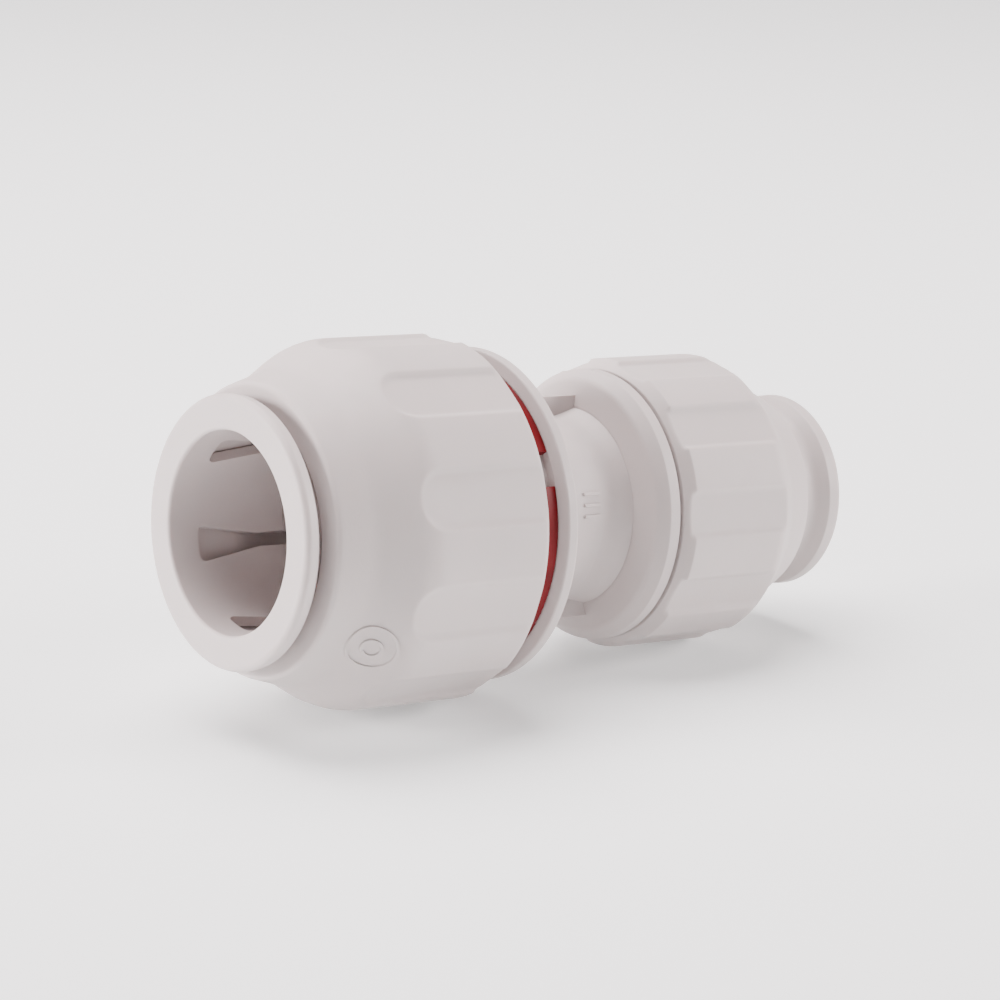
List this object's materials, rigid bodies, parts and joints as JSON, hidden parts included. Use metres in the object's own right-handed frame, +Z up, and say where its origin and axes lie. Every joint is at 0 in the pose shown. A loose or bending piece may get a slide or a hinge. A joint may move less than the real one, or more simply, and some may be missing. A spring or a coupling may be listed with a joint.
{
  "type": "push to connect fitting",
  "caption": "Straight reducing push-fit pipe connector in white plastic, with a twist-to-lock ribbed cap and a gripping collet on each end.",
  "frame": {"origin": "centre of the object's box, on the pipe axis", "axes": "+X along the pipe axis from the 28 mm end to the 22 mm end, +Z up, away from one gusset"},
  "size_m": [0.1016, 0.0522, 0.0522],
  "materials": {
    "white_body": "fine matte moulded texture",
    "white_cap": "fine matte moulded texture",
    "white_collet": "smooth satin moulding",
    "white_spacer": "smooth moulding",
    "red_ring": "smooth moulding",
    "seal_rubber": "smooth",
    "tooth_steel": "stamped strip"
  },
  "bodies": {
    "fitting_body": {"main_body": "white_body", "lock_indicator_ring": "red_ring", "large_o_ring": "seal_rubber", "small_o_ring": "seal_rubber"},
    "large_spacer": {"large_spacer_ring": "white_spacer"},
    "large_cap": {"large_lock_cap": "white_cap"},
    "large_grip": {"large_collet": "white_collet", "large_tooth_1": "tooth_steel", "large_tooth_2": "tooth_steel", "large_tooth_3": "tooth_steel", "large_tooth_4": "tooth_steel", "large_tooth_5": "tooth_steel", "large_tooth_6": "tooth_steel"},
    "small_spacer": {"small_spacer_ring": "white_spacer"},
    "small_cap": {"small_lock_cap": "white_cap"},
    "small_grip": {"small_collet": "white_collet", "small_tooth_1": "tooth_steel", "small_tooth_2": "tooth_steel", "small_tooth_3": "tooth_steel", "small_tooth_4": "tooth_steel", "small_tooth_5": "tooth_steel", "small_tooth_6": "tooth_steel"}
  },
  "joints": [
    {"name": "large_spacer_slide", "type": "slide", "parent": "fitting_body", "child": "large_spacer", "axis": [1, 0, 0], "range_m": [0, 0.0038]},
    {"name": "large_cap_twist", "type": "hinge", "parent": "large_spacer", "child": "large_cap", "pos_m": [-0.0308, 0, 0], "axis": [1, 0, 0], "range_deg": [0, 90]},
    {"name": "large_collet_push", "type": "slide", "parent": "large_spacer", "child": "large_grip", "axis": [1, 0, 0], "range_m": [-0.001, 0.0017]},
    {"name": "small_spacer_slide", "type": "slide", "parent": "fitting_body", "child": "small_spacer", "axis": [1, 0, 0], "range_m": [0, 0.003]},
    {"name": "small_cap_twist", "type": "hinge", "parent": "small_spacer", "child": "small_cap", "pos_m": [0.0308, 0, 0], "axis": [1, 0, 0], "range_deg": [0, 90]},
    {"name": "small_collet_push", "type": "slide", "parent": "small_spacer", "child": "small_grip", "axis": [-1, 0, 0], "range_m": [0, 0.003]}
  ],
  "couplings": [
    {"joint": "large_spacer_slide", "follows": "large_cap_twist", "m_per_rad": 0.0024192},
    {"joint": "small_spacer_slide", "follows": "small_cap_twist", "m_per_rad": 0.0019099}
  ]
}
